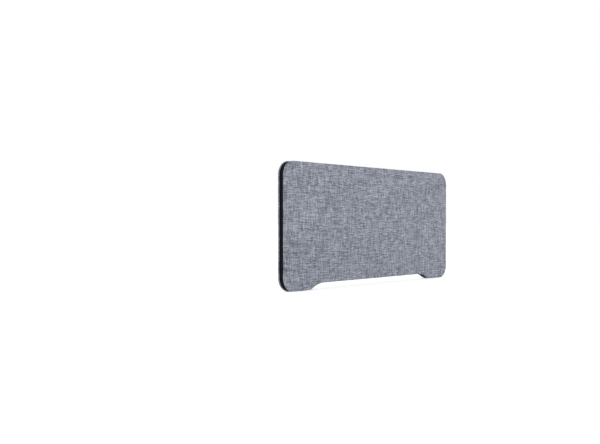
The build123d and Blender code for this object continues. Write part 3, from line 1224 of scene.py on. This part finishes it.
def makeInserts():
    bm = bmesh.new()
    low, high = insert["flangeLow"], insert["flangeHigh"]
    ring = [
        (insert["valley"], low + insert["lead"]), (insert["valley"] + insert["lead"], low),
        (insert["flange"], low), (insert["flange"], high), (insert["root"], high),
    ]
    ridges = []
    rise, crestLow, crestHigh = insert["ridge"]
    count = int((insert["top"] - high) / insert["outerPitch"])
    for index in range(count):
        foot = high + index * insert["outerPitch"]
        for radius, share in (("root", rise), ("body", crestLow), ("body", crestHigh), ("root", 1)):
            ridges.append((insert[radius], foot + share * insert["outerPitch"]))
    top = [(insert["root"], insert["top"]), (insert["valley"], insert["top"])]
    crest, valley, pitch = insert["crest"], insert["valley"], insert["pitch"]
    turns = int((insert["top"] - low) / pitch) - insert["unthreaded"]
    first = low + insert["threadStart"]
    flatLow, flatHigh = insert["threadCrest"]
    groove = [
        (valley, first), (crest, first + flatLow * pitch),
        (crest, first + flatHigh * pitch), (valley, first + pitch),
    ]
    for x in boltPlaces():
        lathe(bm, ring + ridges + top, (x, 0, 0), insert["segments"])
        screwSurface(bm, groove, (x, 0, 0), pitch, turns, insert["segments"])
    bmesh.ops.remove_doubles(bm, verts=bm.verts[:], dist=insert["merge"])
    bmesh.ops.recalc_face_normals(bm, faces=bm.faces[:])
    newPiece("threaded_inserts_turned", bm, brass, "panel", ["threaded_inserts"])


makeInserts()
print("inserts made")

# hard pieces whose shape is the frame's own, with their edges taken off
soften = {
    "merge": 0.001 * mm,  # corners that are this near are one
    "flat": math.radians(1.0),  # faces that turn by less are one
    "sharp": math.radians(35),  # an edge that turns by more is rounded
    "wood": 0.8 * mm,
    "board": 1.5 * mm,
    "boardSegments": 3,
}


def softened(node, name, width, material, body, segments=2, edgeMaterial=None):
    bm = bmesh.new()
    bm.from_mesh(nodes[node].data)
    bmesh.ops.remove_doubles(bm, verts=bm.verts[:], dist=soften["merge"])
    bmesh.ops.dissolve_limit(
        bm, angle_limit=soften["flat"], verts=bm.verts[:], edges=bm.edges[:]
    )
    piece = newPiece(name, bm, material, body, [node])
    bevel = piece.modifiers.new("softEdges", "BEVEL")
    bevel.width = width
    bevel.segments = segments
    bevel.limit_method = "ANGLE"
    bevel.angle_limit = soften["sharp"]
    # the bevelled edges take the second enamel: edge wear and a painted highlight
    if edgeMaterial:
        piece.data.materials.append(edgeMaterial)
        bevel.material = 1
        bevel.use_clamp_overlap = node != "zip_slider"  # its short edges would stop the bevel
    return piece


for node, name, width, body in (
    ("zip_slider", "zip_slider_body", 0.1 * mm, "slider"),
    ("slider_pull", "slider_pull_tab", 0.2 * mm, "pull"),
    ("zip_start_stop", "zip_start_stop_pressed", 0.3 * mm, "panel"),
    ("zip_end_stops", "zip_end_stops_pressed", 0.25 * mm, "panel"),
):
    softened(node, name, width, blackEnamel, body, edgeMaterial=rubbedHighlitEnamel)

upright = ["left_stile", "right_stile", "left_upright", "right_upright"]
lengthwise = ["top_rail", "bottom_rail", "left_foot_block", "right_foot_block",
              "left_corner_block", "right_corner_block"]
for node in upright:
    softened(node, node + "_planed", soften["wood"], pineUpright, "panel")
for node in lengthwise:
    softened(node, node + "_planed", soften["wood"], pineAlong, "panel")
for node in ("left_infill", "middle_infill", "right_infill"):
    softened(
        node, node + "_board", soften["board"], fibreBoard, "panel",
        soften["boardSegments"],
    )
print("slider, frame and infill made")

dowel = {
    "radius": 4.0 * mm, "length": 36.0 * mm, "flutes": 24, "depth": 0.25 * mm,
    "chamfer": 1.0 * mm,
}


def dowelShape():
    bm = bmesh.new()
    bmesh.ops.create_cone(
        bm, cap_ends=True, segments=2 * dowel["flutes"], radius1=dowel["radius"],
        radius2=dowel["radius"], depth=dowel["length"],
    )
    for vert in bm.verts:
        angle = math.atan2(vert.co.y, vert.co.x)
        if round(angle / math.pi * dowel["flutes"]) % 2:
            inward = 1 - dowel["depth"] / dowel["radius"]
            vert.co.x *= inward
            vert.co.y *= inward
    caps = [f for f in bm.faces if len(f.verts) > 4]
    for cap in caps:
        back = -math.copysign(dowel["chamfer"], cap.normal.z)
        bmesh.ops.inset_region(
            bm, faces=[cap], thickness=dowel["chamfer"], use_even_offset=True
        )
        level = cap.verts[0].co.z
        sides = [v for v in bm.verts if abs(v.co.z - level) < samePlace and v not in cap.verts]
        bmesh.ops.translate(bm, vec=(0, 0, back), verts=sides)
    return keptMesh(bm)


def makeDowels():
    # one at each place that the frame's own dowels have
    source = bmesh.new()
    source.from_mesh(nodes["frame_dowels"].data)
    bmesh.ops.remove_doubles(source, verts=source.verts[:], dist=soften["merge"])
    left = set(source.verts)
    places = []
    while left:
        found = [left.pop()]
        for vert in found:
            near = [e.other_vert(vert) for e in vert.link_edges]
            found += [v for v in near if v in left]
            left -= set(near)
        low = Vector([min(v.co[i] for v in found) for i in range(3)])
        high = Vector([max(v.co[i] for v in found) for i in range(3)])
        place = Matrix.Translation((low + high) / 2)
        if high.x - low.x > high.z - low.z:
            place = place @ Matrix.Rotation(quarterTurn, 4, "Y")
        places.append(place)
    source.free()
    places.sort(key=lambda p: tuple(round(value, 4) for value in p.translation))
    bm = scatter(dowelShape(), places)
    newPiece("frame_dowels_fluted", bm, beechAlong, "panel", ["frame_dowels"])
    print(len(places), "dowels made")


makeDowels()


def makeFloor():
    bm = bmesh.new()
    bmesh.ops.create_grid(
        bm, x_segments=floor["segments"], y_segments=floor["segments"], size=floor["size"]
    )
    mesh = bpy.data.meshes.new("floor")
    bm.to_mesh(mesh)
    bm.free()
    material, tree, shader = startMaterial("paleFloor", Roughness=floor["roughness"])
    shader.inputs["Base Color"].default_value = floor["colour"]
    shader.inputs["Emission Color"].default_value = floor["colour"]
    shader.inputs["Emission Strength"].default_value = floor["glow"]
    mesh.materials.append(material)
    made = bpy.data.objects.new("floor", mesh)
    scene.collection.objects.link(made)


makeFloor()
